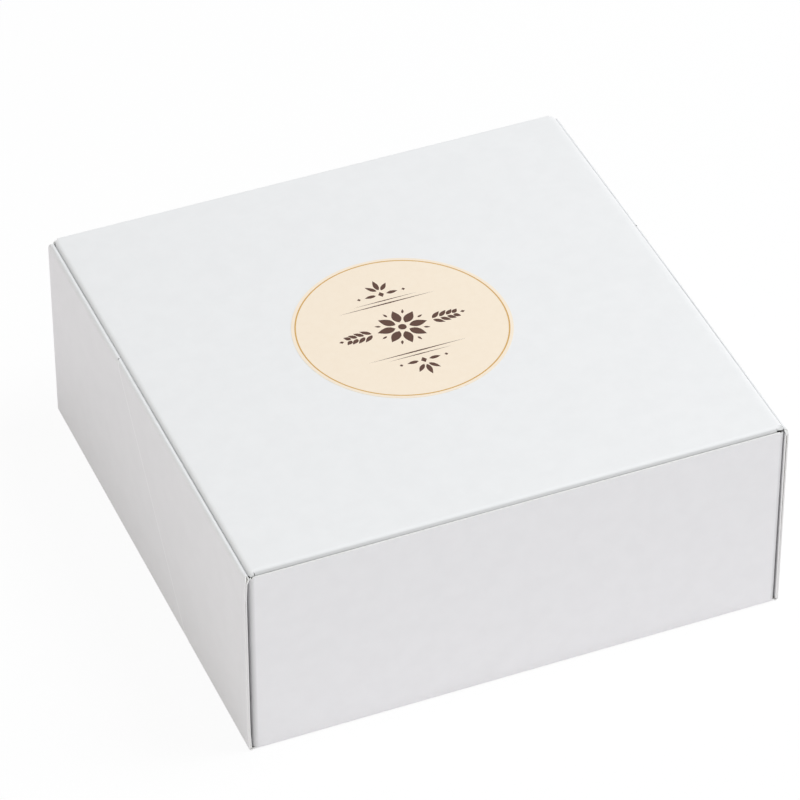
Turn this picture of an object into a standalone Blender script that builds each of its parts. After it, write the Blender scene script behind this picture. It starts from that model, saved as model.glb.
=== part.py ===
"""White folding cake box with a hinged lid, modelled panel by panel as the blank folds up.

Metres, +Z up. X runs across the front, the front faces -Y, and the origin is the
middle of the resting face. Every panel of the blank is its own object, and a small
seam stands where the board bends from one panel into the next.
"""

import math

import bmesh
import bpy
from mathutils import Matrix, Vector

# Room inside the closed box
INNER_WIDTH = 0.254
INNER_DEPTH = 0.254
INNER_HEIGHT = 0.1016

# Board and the clearances between its panels
BOARD = 0.0007
SEAM = 0.0003
PLY_GAP = 0.0003
CORNER_GAP = 0.0005

# Bend radii, to the middle of the board
BOTTOM_RADIUS = 0.0007
CORNER_RADIUS = 0.00165
ROLL_RADIUS = 0.00185

# Double side walls
SIDE_END_SETBACK = 0.0003
TAB_LENGTH = 0.040
TAB_SPACING = 0.120
TAB_RECESS = 0.0001
TAB_CORNER = 0.0004
SLOT_END_CLEARANCE = 0.0005
SLOT_SIDE_CLEARANCE = 0.0002

# Slanted score of each side wall, and the relief notch at its upper end
SCORE_TOP_FROM_BACK = 0.0955
SCORE_BOTTOM_FROM_FRONT = 0.080
SCORE_WIDTH = 0.0009
SCORE_DEPTH = 0.00015
RELIEF_DIAMETER = 0.0014

# Glued corner flaps of the front and back walls
CORNER_FLAP_LENGTH = 0.060
CORNER_FLAP_DROP = 0.010
CORNER_FLAP_ROUND = 0.008

# Flaps of the lid, which lean inward behind the walls
FLAP_LEAN = math.radians(9.0)
TUCK_DEPTH = 0.038
SIDE_FLAP_DEPTH = 0.038
MITRE = math.radians(45.0)
BACK_TAPER = math.radians(15.0)
TUCK_ROUND = 0.010
SIDE_FLAP_ROUND = 0.008
ROLL_BACK_SETBACK = 0.0035

# Round paper label on the lid
LABEL_DIAMETER = 0.1016
LABEL_THICKNESS = 0.0001
LABEL_GLUE = 0.00002
LABEL_OFFSET_X = -0.0017
LABEL_OFFSET_Y = 0.0045

# Length by which a cutter passes the face that it cuts, and the distance that counts as none
OVERRUN = 0.002
WELD = 0.000005

# Smoothness of the bends, as straight steps
BOTTOM_STEPS = 4
TOP_FOLD_STEPS = 8
CORNER_STEPS = 6
ROLL_STEPS = 7
ROUND_STEPS = 6
LABEL_STEPS = 96
HINGE_EDGE_STEPS = 3
HINGE_EDGE_SHARE = 0.48

# Sizes that follow from the ones above
HALF_BOARD = BOARD / 2
TOP_RADIUS = (BOARD + PLY_GAP) / 2
SIDE_WALL = 2 * BOARD + PLY_GAP
CORNER_FACE = SIDE_WALL + CORNER_GAP
WIDTH = INNER_WIDTH + 2 * (CORNER_FACE + BOARD)
DEPTH = INNER_DEPTH + 2 * BOARD
WALL_TOP = BOARD + INNER_HEIGHT
LID_UNDERSIDE = WALL_TOP + SEAM
LID_MIDDLE = LID_UNDERSIDE + HALF_BOARD
LID_TOP = LID_UNDERSIDE + BOARD
BEND_END = HALF_BOARD + BOTTOM_RADIUS
BASE_EDGE = BEND_END + SEAM
CORNER_CENTRE_X = CORNER_FACE + HALF_BOARD + CORNER_RADIUS
CORNER_CENTRE_Y = HALF_BOARD + CORNER_RADIUS
ROLL_CENTRE_X = SIDE_WALL + SEAM + HALF_BOARD + ROLL_RADIUS
ROLL_CENTRE_Y = BOARD + SEAM + HALF_BOARD + ROLL_RADIUS
ROLL_ANGLE = math.pi / 2 + FLAP_LEAN
HINGE_Y = DEPTH / 2 - HALF_BOARD

LEFT, RIGHT = -1, 1
FRONT, BACK = -1, 1
SIDE_NAMES = {LEFT: "left", RIGHT: "right"}
END_NAMES = {FRONT: "front", BACK: "back"}

WHITE_COATED = (0.84, 0.85, 0.86, 1.0)
WHITE_REVERSE = (0.78, 0.77, 0.74, 1.0)
LABEL_CREAM = (0.90, 0.80, 0.66, 1.0)


def clear_scene():
    """Remove every object, so that the script can be run again."""
    for old in list(bpy.data.objects):
        bpy.data.objects.remove(old, do_unlink=True)


def new_collection(name):
    """Make a collection and link it to the scene."""
    collection = bpy.data.collections.new(name)
    bpy.context.scene.collection.children.link(collection)
    return collection


def new_material(name, colour, roughness):
    """Make a Principled BSDF material with one colour."""
    material = bpy.data.materials.new(name)
    material.use_nodes = True
    shader = material.node_tree.nodes["Principled BSDF"]
    shader.inputs["Base Color"].default_value = colour
    shader.inputs["Roughness"].default_value = roughness
    shader.inputs["Metallic"].default_value = 0.0
    return material


def add_object(name, mesh, collection, material, place=None):
    """Make an object from a mesh, at a place given as a matrix."""
    piece = bpy.data.objects.new(name, mesh)
    collection.objects.link(piece)
    mesh.materials.append(material)
    if place is not None:
        piece.matrix_world = place
    return piece


def frame_at(origin, across, along):
    """Matrix of a local frame: X is across, Y is along and Z is square to both."""
    x_axis = Vector(across).normalized()
    y_axis = Vector(along).normalized()
    z_axis = x_axis.cross(y_axis)
    turn = Matrix((x_axis, y_axis, z_axis)).transposed().to_4x4()
    return Matrix.Translation(Vector(origin)) @ turn


def arc(centre, radius, start, end, steps):
    """Points along an arc, ends included."""
    points = []
    for step in range(steps + 1):
        angle = start + (end - start) * step / steps
        points.append((centre[0] + radius * math.cos(angle), centre[1] + radius * math.sin(angle)))
    return points


def rounded_outline(corners):
    """Closed outline through corners given as (x, y, fillet radius)."""
    outline = []
    count = len(corners)
    for index, (x, y, radius) in enumerate(corners):
        corner = Vector((x, y))
        if not radius:
            outline.append((x, y))
            continue
        before = (Vector(corners[index - 1][:2]) - corner).normalized()
        after = (Vector(corners[(index + 1) % count][:2]) - corner).normalized()
        half = before.angle(after) / 2
        centre = corner + (before + after).normalized() * radius / math.sin(half)
        reach = radius / math.tan(half)
        first = corner + before * reach - centre
        last = corner + after * reach - centre
        start = math.atan2(first.y, first.x)
        sweep = (math.atan2(last.y, last.x) - start + math.pi) % (2 * math.pi) - math.pi
        outline.extend(arc(centre, radius, start, start + sweep, ROUND_STEPS))
    return outline


def flat_panel(name, outline, place, collection, material):
    """Flat panel of board: a filled 2D curve, half a board thick to either side."""
    curve = bpy.data.curves.new(name, "CURVE")
    curve.dimensions = "2D"
    curve.fill_mode = "BOTH"
    curve.extrude = HALF_BOARD
    spline = curve.splines.new("POLY")
    spline.points.add(len(outline) - 1)
    for point, (x, y) in zip(spline.points, outline):
        point.co = (x, y, 0.0, 1.0)
    spline.use_cyclic_u = True
    guide = bpy.data.objects.new(name + "_outline", curve)
    collection.objects.link(guide)
    depsgraph = bpy.context.evaluated_depsgraph_get()
    mesh = bpy.data.meshes.new_from_object(guide.evaluated_get(depsgraph))
    mesh.name = name
    bpy.data.objects.remove(guide, do_unlink=True)
    shape = bmesh.new()
    shape.from_mesh(mesh)
    bmesh.ops.remove_doubles(shape, verts=shape.verts, dist=WELD)
    bmesh.ops.recalc_face_normals(shape, faces=shape.faces)
    shape.to_mesh(mesh)
    shape.free()
    mesh.materials.clear()
    return add_object(name, mesh, collection, material, place)


def round_hinge_edge(piece):
    """Round the upper edge of a flap, which turns on its hinge."""
    shape = bmesh.new()
    shape.from_mesh(piece.data)
    highest = max(vert.co.y for vert in shape.verts)
    on_top = [vert.co.y > highest - WELD for vert in shape.verts]
    edges = []
    for edge in shape.edges:
        first, last = edge.verts
        level = on_top[first.index] and on_top[last.index]
        if level and abs(first.co.z - last.co.z) < WELD:
            edges.append(edge)
    bmesh.ops.bevel(
        shape,
        geom=edges,
        offset=BOARD * HINGE_EDGE_SHARE,
        segments=HINGE_EDGE_STEPS,
        profile=0.5,
        affect="EDGES",
    )
    shape.to_mesh(piece.data)
    shape.free()


def folded_strip(name, profile, run, to_world, collection, material):
    """Bent board: an open profile drawn along a straight run, then made solid."""
    shape = bmesh.new()
    start, end = run
    row = [shape.verts.new(to_world(first, second, start)) for first, second in profile]
    edges = [shape.edges.new(pair) for pair in zip(row, row[1:])]
    drawn = bmesh.ops.extrude_edge_only(shape, edges=edges)
    moved = [item for item in drawn["geom"] if isinstance(item, bmesh.types.BMVert)]
    offset = Vector(to_world(0.0, 0.0, end)) - Vector(to_world(0.0, 0.0, start))
    bmesh.ops.translate(shape, verts=moved, vec=offset)
    bmesh.ops.recalc_face_normals(shape, faces=shape.faces)
    mesh = bpy.data.meshes.new(name)
    shape.to_mesh(mesh)
    shape.free()
    strip = add_object(name, mesh, collection, material)
    make_solid(strip)
    return strip


def make_solid(sheet):
    """Give an open sheet the thickness of the board, half to either side."""
    shell = sheet.modifiers.new("board_thickness", "SOLIDIFY")
    shell.thickness = BOARD
    shell.offset = 0.0
    shell.use_even_offset = True
    shell.use_quality_normals = True


def cut(piece, cutter):
    """Take a cutter out of a piece."""
    cutter.hide_render = True
    cutter.display_type = "WIRE"
    knife = piece.modifiers.new("cut_" + cutter.name, "BOOLEAN")
    knife.operation = "DIFFERENCE"
    knife.object = cutter


def box_cutter(name, low, high, collection):
    """Block between two corners, for cutting."""
    shape = bmesh.new()
    bmesh.ops.create_cube(shape, size=1.0)
    size = Vector(high) - Vector(low)
    bmesh.ops.scale(shape, vec=size, verts=shape.verts)
    mesh = bpy.data.meshes.new(name)
    shape.to_mesh(mesh)
    shape.free()
    cutter = bpy.data.objects.new(name, mesh)
    cutter.location = (Vector(low) + Vector(high)) / 2
    collection.objects.link(cutter)
    return cutter


def bar_cutter(name, start, end, radii, sides, normal, collection):
    """Straight bar from start to end, flattened along a normal, for cutting."""
    run = Vector(end) - Vector(start)
    shape = bmesh.new()
    bmesh.ops.create_cone(
        shape,
        cap_ends=True,
        segments=sides,
        radius1=1.0,
        radius2=1.0,
        depth=run.length,
    )
    wide, deep = radii
    bmesh.ops.scale(shape, vec=(deep, wide, 1.0), verts=shape.verts)
    mesh = bpy.data.meshes.new(name)
    shape.to_mesh(mesh)
    shape.free()
    cutter = bpy.data.objects.new(name, mesh)
    collection.objects.link(cutter)
    z_axis = run.normalized()
    x_axis = Vector(normal)
    y_axis = z_axis.cross(x_axis)
    turn = Matrix((x_axis, y_axis, z_axis)).transposed().to_4x4()
    cutter.matrix_world = Matrix.Translation((Vector(start) + Vector(end)) / 2) @ turn
    return cutter


def tab_centres():
    """Places of the lock tabs along a side wall."""
    return (-TAB_SPACING / 2, TAB_SPACING / 2)


def build_base(parts, material):
    """Floor of the box, notched at both sides for the lock tabs of the inner walls."""
    half_x = WIDTH / 2 - BASE_EDGE
    half_y = DEPTH / 2 - BASE_EDGE
    notch_x = WIDTH / 2 - SIDE_WALL - SLOT_SIDE_CLEARANCE
    half_slot = TAB_LENGTH / 2 + SLOT_END_CLEARANCE
    right_edge = [(half_x, -half_y)]
    for centre in tab_centres():
        right_edge.append((half_x, centre - half_slot))
        right_edge.append((notch_x, centre - half_slot))
        right_edge.append((notch_x, centre + half_slot))
        right_edge.append((half_x, centre + half_slot))
    right_edge.append((half_x, half_y))
    left_edge = [(-x, -y) for x, y in right_edge]
    place = Matrix.Translation((0.0, 0.0, HALF_BOARD))
    flat_panel("base_panel", right_edge + left_edge, place, parts, material)


def build_end_wall(end, parts, material):
    """Front or back wall: one ply with its bend into the base."""
    bend = arc((BEND_END, BEND_END), BOTTOM_RADIUS, -math.pi / 2, -math.pi, BOTTOM_STEPS)
    profile = bend + [(HALF_BOARD, WALL_TOP)]
    half_run = WIDTH / 2 - CORNER_CENTRE_X - SEAM

    def to_world(inset, height, along):
        return (along, end * (DEPTH / 2 - inset), height)

    name = END_NAMES[end] + "_wall"
    folded_strip(name, profile, (-half_run, half_run), to_world, parts, material)


def build_outer_side_wall(side, parts, cutters, material):
    """Outer ply of a double side wall, bent at its foot and rolled over at its top."""
    bend = arc((BEND_END, BEND_END), BOTTOM_RADIUS, -math.pi / 2, -math.pi, BOTTOM_STEPS)
    fold_centre = (HALF_BOARD + TOP_RADIUS, WALL_TOP - HALF_BOARD - TOP_RADIUS)
    fold = arc(fold_centre, TOP_RADIUS, math.pi, 0.0, TOP_FOLD_STEPS)
    half_run = DEPTH / 2 - SIDE_END_SETBACK

    def to_world(inset, height, along):
        return (side * (WIDTH / 2 - inset), along, height)

    name = SIDE_NAMES[side] + "_outer_wall"
    wall = folded_strip(name, bend + fold, (-half_run, half_run), to_world, parts, material)

    slot_out = WIDTH / 2 - (BOARD + PLY_GAP - SLOT_SIDE_CLEARANCE)
    slot_in = WIDTH / 2 - SIDE_WALL - SLOT_SIDE_CLEARANCE
    half_slot = TAB_LENGTH / 2 + SLOT_END_CLEARANCE
    for number, centre in enumerate(tab_centres()):
        xs = sorted((side * slot_out, side * slot_in))
        low = (xs[0], centre - half_slot, -OVERRUN)
        high = (xs[1], centre + half_slot, BOARD + SEAM)
        cut(wall, box_cutter(f"{name}_slot_{number}", low, high, cutters))

    face = side * WIDTH / 2
    top = Vector((face, DEPTH / 2 - SCORE_TOP_FROM_BACK, WALL_TOP))
    bottom = Vector((face, SCORE_BOTTOM_FROM_FRONT - DEPTH / 2, 0.0))
    slope = (top - bottom).normalized()
    score_start = bottom - slope * OVERRUN
    score_end = top + slope * OVERRUN
    radii = (SCORE_WIDTH / 2, SCORE_DEPTH)
    normal = (side, 0.0, 0.0)
    cut(wall, bar_cutter(name + "_score", score_start, score_end, radii, 4, normal, cutters))

    notch_start = top + Vector((side * OVERRUN, 0.0, 0.0))
    notch_end = top - Vector((side * (SIDE_WALL + OVERRUN), 0.0, 0.0))
    radii = (RELIEF_DIAMETER / 2, RELIEF_DIAMETER / 2)
    cutter = bar_cutter(name + "_relief", notch_start, notch_end, radii, 12, (0.0, 0.0, 1.0), cutters)
    cut(wall, cutter)


def build_inner_side_wall(side, parts, material):
    """Inner ply of a double side wall, with lock tabs that stand in slots at its foot."""
    half_run = DEPTH / 2 - SIDE_END_SETBACK
    foot = BOARD + SEAM
    head = WALL_TOP - HALF_BOARD - TOP_RADIUS - SEAM
    corners = [(-half_run, foot, 0.0)]
    for centre in tab_centres():
        corners.append((centre - TAB_LENGTH / 2, foot, 0.0))
        corners.append((centre - TAB_LENGTH / 2, TAB_RECESS, TAB_CORNER))
        corners.append((centre + TAB_LENGTH / 2, TAB_RECESS, TAB_CORNER))
        corners.append((centre + TAB_LENGTH / 2, foot, 0.0))
    corners.append((half_run, foot, 0.0))
    corners.append((half_run, head, 0.0))
    corners.append((-half_run, head, 0.0))
    middle_x = side * (WIDTH / 2 - SIDE_WALL + HALF_BOARD)
    place = frame_at((middle_x, 0.0, 0.0), (0.0, 1.0, 0.0), (0.0, 0.0, 1.0))
    name = SIDE_NAMES[side] + "_inner_wall"
    flat_panel(name, rounded_outline(corners), place, parts, material)


def build_corner(end, side, parts, material):
    """Upright crease at a corner, and the glued flap that it turns into."""
    centre = (CORNER_CENTRE_X, CORNER_CENTRE_Y)
    crease = arc(centre, CORNER_RADIUS, -math.pi / 2, -math.pi, CORNER_STEPS)

    def to_world(inset_x, inset_y, along):
        return (side * (WIDTH / 2 - inset_x), end * (DEPTH / 2 - inset_y), along)

    name = f"{END_NAMES[end]}_{SIDE_NAMES[side]}_corner"
    folded_strip(name + "_crease", crease, (BASE_EDGE, WALL_TOP), to_world, parts, material)

    foot = BOARD + SEAM
    head = WALL_TOP - CORNER_FLAP_DROP
    near = CORNER_CENTRE_Y + SEAM
    corners = [
        (near, foot, 0.0),
        (CORNER_FLAP_LENGTH, foot, 0.0),
        (CORNER_FLAP_LENGTH, head, CORNER_FLAP_ROUND),
        (near, head, 0.0),
    ]
    middle_x = side * (WIDTH / 2 - CORNER_FACE - HALF_BOARD)
    origin = (middle_x, end * DEPTH / 2, 0.0)
    place = frame_at(origin, (0.0, -end, 0.0), (0.0, 0.0, 1.0))
    flat_panel(name + "_flap", rounded_outline(corners), place, parts, material)


def build_lid(parts, material):
    """Lid: a flat panel whose front and side edges roll down towards the flaps."""
    angles = [ROLL_ANGLE * step / ROLL_STEPS for step in range(ROLL_STEPS, 0, -1)]
    roll = [(ROLL_RADIUS * math.sin(a), ROLL_RADIUS * (1 - math.cos(a))) for a in angles]
    flat_x = WIDTH / 2 - ROLL_CENTRE_X
    flat_y = DEPTH / 2 - ROLL_CENTRE_Y
    columns = [(-flat_x - out, drop) for out, drop in roll]
    columns += [(-flat_x, 0.0), (flat_x, 0.0)]
    columns += [(flat_x + out, drop) for out, drop in reversed(roll)]
    rows = [(-flat_y - out, drop) for out, drop in roll]
    rows += [(-flat_y, 0.0), (DEPTH / 2 - ROLL_BACK_SETBACK, 0.0), (HINGE_Y, 0.0)]

    shape = bmesh.new()
    bmesh.ops.create_grid(shape, x_segments=len(columns) - 1, y_segments=len(rows) - 1, size=1.0)
    shape.verts.ensure_lookup_table()
    order = sorted(shape.verts, key=lambda vert: (round(vert.co.y, 5), round(vert.co.x, 5)))
    cell = {}
    for index, vert in enumerate(order):
        row, column = divmod(index, len(columns))
        cell[vert] = (row, column)
    waste = []
    last_flat_row = len(rows) - 1
    for face in shape.faces:
        row = min(cell[vert][0] for vert in face.verts)
        column = min(cell[vert][1] for vert in face.verts)
        in_front_roll = row < ROLL_STEPS
        in_side_roll = column < ROLL_STEPS or column > ROLL_STEPS
        behind_rolls = row == last_flat_row - 1
        if in_side_roll and (in_front_roll or behind_rolls):
            waste.append(face)
    for vert, (row, column) in cell.items():
        x, drop_x = columns[column]
        y, drop_y = rows[row]
        vert.co = (x, y - HINGE_Y, -drop_x - drop_y)
    bmesh.ops.delete(shape, geom=waste, context="FACES")
    mesh = bpy.data.meshes.new("lid_panel")
    shape.to_mesh(mesh)
    shape.free()
    lid = add_object("lid_panel", mesh, parts, material)
    lid.location = (0.0, HINGE_Y, LID_MIDDLE)
    make_solid(lid)
    return lid


def flap_hinge(centre_inset):
    """Hinge of a lid flap, as its inset from the box's face and its height."""
    out = ROLL_RADIUS * math.sin(ROLL_ANGLE)
    drop = ROLL_RADIUS * (1 - math.cos(ROLL_ANGLE))
    step = HALF_BOARD + SEAM
    inset = centre_inset - out + step * math.sin(FLAP_LEAN)
    height = LID_MIDDLE - drop - step * math.cos(FLAP_LEAN)
    return inset, height


def build_tuck_flap(parts, material):
    """Front flap of the lid, mitred at both ends, tucked in behind the front wall."""
    inset, height = flap_hinge(ROLL_CENTRE_Y)
    half_top = WIDTH / 2 - ROLL_CENTRE_X - HALF_BOARD
    half_foot = half_top - TUCK_DEPTH * math.tan(MITRE)
    corners = [
        (-half_top, HALF_BOARD, 0.0),
        (-half_foot, -TUCK_DEPTH, TUCK_ROUND),
        (half_foot, -TUCK_DEPTH, TUCK_ROUND),
        (half_top, HALF_BOARD, 0.0),
    ]
    up = (0.0, -math.sin(FLAP_LEAN), math.cos(FLAP_LEAN))
    place = frame_at((0.0, inset - DEPTH / 2, height), (1.0, 0.0, 0.0), up)
    flap = flat_panel("front_tuck_flap", rounded_outline(corners), place, parts, material)
    round_hinge_edge(flap)


def build_side_flap(side, parts, material):
    """Side flap of the lid, mitred in front and tapered behind, inside the side wall."""
    inset, height = flap_hinge(ROLL_CENTRE_X)
    front = ROLL_CENTRE_Y - DEPTH / 2 + HALF_BOARD
    back = DEPTH / 2 - ROLL_BACK_SETBACK
    corners = [
        (front, HALF_BOARD, 0.0),
        (front + SIDE_FLAP_DEPTH * math.tan(MITRE), -SIDE_FLAP_DEPTH, SIDE_FLAP_ROUND),
        (back - SIDE_FLAP_DEPTH * math.tan(BACK_TAPER), -SIDE_FLAP_DEPTH, SIDE_FLAP_ROUND),
        (back, HALF_BOARD, 0.0),
    ]
    up = (side * math.sin(FLAP_LEAN), 0.0, math.cos(FLAP_LEAN))
    place = frame_at((side * (WIDTH / 2 - inset), 0.0, height), (0.0, 1.0, 0.0), up)
    name = "lid_" + SIDE_NAMES[side] + "_flap"
    flap = flat_panel(name, rounded_outline(corners), place, parts, material)
    round_hinge_edge(flap)


def build_label(parts, material):
    """Round label stuck on the lid."""
    shape = bmesh.new()
    bmesh.ops.create_cone(
        shape,
        cap_ends=True,
        segments=LABEL_STEPS,
        radius1=LABEL_DIAMETER / 2,
        radius2=LABEL_DIAMETER / 2,
        depth=LABEL_THICKNESS,
    )
    mesh = bpy.data.meshes.new("lid_label")
    shape.to_mesh(mesh)
    shape.free()
    label = add_object("lid_label", mesh, parts, material)
    height = LID_TOP + LABEL_GLUE + LABEL_THICKNESS / 2
    label.location = (LABEL_OFFSET_X, LABEL_OFFSET_Y, height)


def build_box():
    """Build the whole box, closed."""
    clear_scene()
    parts = new_collection("cake_box")
    cutters = new_collection("cutters")
    coated = new_material("white_coated_board", WHITE_COATED, 0.42)
    reverse = new_material("white_uncoated_board", WHITE_REVERSE, 0.75)
    paper = new_material("cream_label_paper", LABEL_CREAM, 0.5)

    build_base(parts, coated)
    for end in (FRONT, BACK):
        build_end_wall(end, parts, coated)
    for side in (LEFT, RIGHT):
        build_outer_side_wall(side, parts, cutters, coated)
        build_inner_side_wall(side, parts, coated)
        for end in (FRONT, BACK):
            build_corner(end, side, parts, reverse)
    build_lid(parts, coated)
    build_tuck_flap(parts, reverse)
    for side in (LEFT, RIGHT):
        build_side_flap(side, parts, reverse)
    build_label(parts, paper)


build_box()
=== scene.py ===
import math

import bmesh
import bpy
from mathutils import Euler, Matrix, Vector


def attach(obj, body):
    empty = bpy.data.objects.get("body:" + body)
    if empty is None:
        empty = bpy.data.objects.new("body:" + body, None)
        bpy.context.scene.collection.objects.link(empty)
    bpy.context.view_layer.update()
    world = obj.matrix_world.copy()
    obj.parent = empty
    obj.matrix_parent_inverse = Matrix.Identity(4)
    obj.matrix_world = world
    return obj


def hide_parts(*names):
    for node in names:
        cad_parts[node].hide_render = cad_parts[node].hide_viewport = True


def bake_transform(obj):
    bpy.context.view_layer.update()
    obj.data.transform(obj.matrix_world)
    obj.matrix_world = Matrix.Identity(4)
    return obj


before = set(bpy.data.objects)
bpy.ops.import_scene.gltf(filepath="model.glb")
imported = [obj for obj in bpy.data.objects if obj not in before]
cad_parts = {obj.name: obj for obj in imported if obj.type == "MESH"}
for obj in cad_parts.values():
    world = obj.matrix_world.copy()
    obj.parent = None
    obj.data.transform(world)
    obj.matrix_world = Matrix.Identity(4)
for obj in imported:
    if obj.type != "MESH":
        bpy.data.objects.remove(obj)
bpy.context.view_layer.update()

# Metres, +Z up, front faces -Y: the same frame and sizes as the CAD.
MM = 0.001

# Outer size of the box, and its board
WIDTH = 259.8 * MM
DEPTH = 255.4 * MM
WALL_TOP = 102.3 * MM
LID_MIDDLE = 102.95 * MM
BOARD = 0.7 * MM
HALF_BOARD = BOARD / 2
HALF_X = WIDTH / 2
HALF_Y = DEPTH / 2

# Mesh making
MERGE_DISTANCE = 0.004 * MM
LABEL_MERGE_DISTANCE = 0.002 * MM
SHARP_ANGLE = math.radians(35.0)
ROD_SIDES = 24
WALL_STEPS = 18
PANEL_STEPS = 36
FLAP_STEPS = 48

# Bends along the floor, to the middle of the board, and the row where the slots of the lock tabs end
FOOT_RADIUS = 1.2 * MM
FOOT_END = HALF_BOARD + FOOT_RADIUS
FOOT_ANGLES = (90.0, 112.0, 135.0, 144.0, 153.0, 166.0, 180.0)
SLOT_ROW = 2

# Double side walls: the top curls inward into a sprung fold, and the plies close below it
SIDE_HALF_RUN = HALF_Y - 0.3 * MM
FOLD_STEPS = 14
FOLD_END_ROUND = 2.0 * MM
CURL_HEIGHT = 3.0 * MM
CURL_STEPS = 5
FOLD_RETURN = 30.0
RETURN_HEIGHT = 2.3 * MM
RETURN_EASE = 0.35
RETURN_STEPS = 6
PLY_PITCH = 0.74 * MM
INNER_FOOT = 1.45 * MM
INNER_STEPS = 12
TAB_FOOT = 0.1 * MM
TAB_CENTRES = (-60.0 * MM, 60.0 * MM)
TAB_HALF = 20.0 * MM
SLOT_HALF = 20.5 * MM
END_BAND = 22.0 * MM
END_BAND_STEPS = 10
MIDDLE_STEPS = 40
COLUMN_GAP = 0.9 * MM

# Slanted score of a side wall, with a relief hole where it meets the fold
SCORE_TOP_Y = 34.4 * MM
SCORE_FOOT_Y = -47.7 * MM
SCORE_HALF_WIDTH = 0.57 * MM
SCORE_SHARES = (-1.0, -0.4, 0.4, 1.0)
SCORE_GROOVE = 0.10 * MM
RELIEF_RADIUS = 0.5 * MM
RELIEF_TILT = math.radians(75.0)
RELIEF_REACHES = (2.2 * MM, -0.2 * MM)
RIM_KINK = 0.15 * MM
RIM_KINK_REACH = 60.0 * MM

# The front end of a side wall stands out a little: over this run, and fading over these heights
FLARE_RUN = 14.0 * MM
FLARE_FOOT = 12.0 * MM
FLARE_HEAD = 10.0 * MM

# Front and back walls with their upright creases and glued corner flaps
CREASE_INSET_X = 4.6 * MM
CREASE_REACH_X = 2.3 * MM
CREASE_REACH_Y = 1.9 * MM
CREASE_INSET_Y = CREASE_REACH_Y + HALF_BOARD
CREASE_STEPS = 16
FRONT_TOP = 101.85 * MM
CORNER_FLAP_REACH = 60.0 * MM
CORNER_FLAP_HEAD = 92.3 * MM
CORNER_FLAP_ROUND = 8.0 * MM
CORNER_FLAP_STEPS = 14
HEAD_STEPS = 6
WALL_BOW = 0.2 * MM
LIP_REACH = 3.0 * MM
LIP_TAPER = 0.8
LIP_STEPS = 5

# Top of an upright crease, by the share of its bend: a slope, then a drop, and a notch at the front
CREASE_TOP_SLOPE = 0.2 * MM
CREASE_TOP_DROP = 2.0 * MM
FRONT_DROP_START = 0.45
BACK_CREASE_RISE = 0.4 * MM
BACK_RISE_RATE = 3.0
BACK_CREASE_DROP = 1.2 * MM
BACK_DROP_START = 0.6
DROP_SPAN = 0.3
NOTCH_DEPTH = 1.15 * MM
NOTCH_PLACE = 0.33
NOTCH_SPREAD = 0.13

# Floor panel
FLOOR_NOTCH_INSET = 1.9 * MM
FLOOR_STEPS = 24
FLOOR_ROW_GAP = 2.0 * MM

# Lid and its rolled edges
ROLL_RADIUS = 1.85 * MM
ROLL_STEPS = 16
FLAP_LEAN = math.radians(9.0)
ROLL_ANGLE = math.pi / 2 + FLAP_LEAN
ROLL_REACH_Y = 2.55 * MM
FLAT_X = HALF_X - 5.1 * MM
FLAT_Y = HALF_Y - 4.0 * MM
LID_BACK = 126.35 * MM
CREASE_STRIP = 0.3 * MM
LID_ROLL_END = ROLL_ANGLE - CREASE_STRIP / ROLL_RADIUS
BULGE_RISE = math.radians(60.0)
BULGE_FALL = math.radians(24.0)

# Back end of a side roll: it slants in from here, over each of two equal turns of the roll
ROLL_BACK_START = 100.0 * MM
ROLL_BACK_TOP = 1.5 * MM
ROLL_BACK_FOOT = 3.5 * MM
ROLL_BACK_TURN = math.pi / 4

# Front end of a side roll: it dips with the front roll, and fades over these shares of its turn
ROLL_FRONT_STEPS = 6
ROLL_FADE_START = 0.4
ROLL_FADE_SPAN = 0.5
ROLL_FOOT_SHARE = 0.5
ROLL_SLIT = 0.35 * MM
SLIT_TURN = math.pi / 6

# Flaps of the lid, and the lengths down each crease
HINGE_STEP = 0.65 * MM
FLAP_START = 1.0 * MM
FLAP_DEPTH = 38.0 * MM
FLAP_LENGTH_STEPS = 6
FLAP_FOOT_BAND = 10.0 * MM
FLAP_FOOT_SHARES = (0.2, 0.4, 0.55, 0.7, 0.8, 0.88, 0.94, 0.975, 0.993, 0.9999)
BACK_TAPER = math.radians(15.0)
TUCK_ROUND = 10.0 * MM
SIDE_FLAP_ROUND = 8.0 * MM
ROUND_STEPS = 12
STRIP_STEPS = 3
CREASE_LENGTHS = tuple(length * MM for length in (0.25, 0.45, 0.65, 0.85, 1.05, 1.3, 1.65))
BLEND_END_ROW = -3

# Crease between lid and back wall
HINGE_Y = HALF_Y - HALF_BOARD
BACK_CREASE_FOOT = 101.7 * MM
BACK_CREASE_RADIUS = 0.5 * MM
BACK_CREASE_STEPS = 8

# Round label
LABEL_X = -1.7 * MM
LABEL_Y = 4.5 * MM
LABEL_RADIUS = 50.8 * MM
LABEL_BASE = 103.32 * MM
LABEL_THICKNESS = 0.1 * MM
LABEL_STEPS = 160
RING_RADIUS = 48.95 * MM
RING_WIDTH = 0.7 * MM

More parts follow.
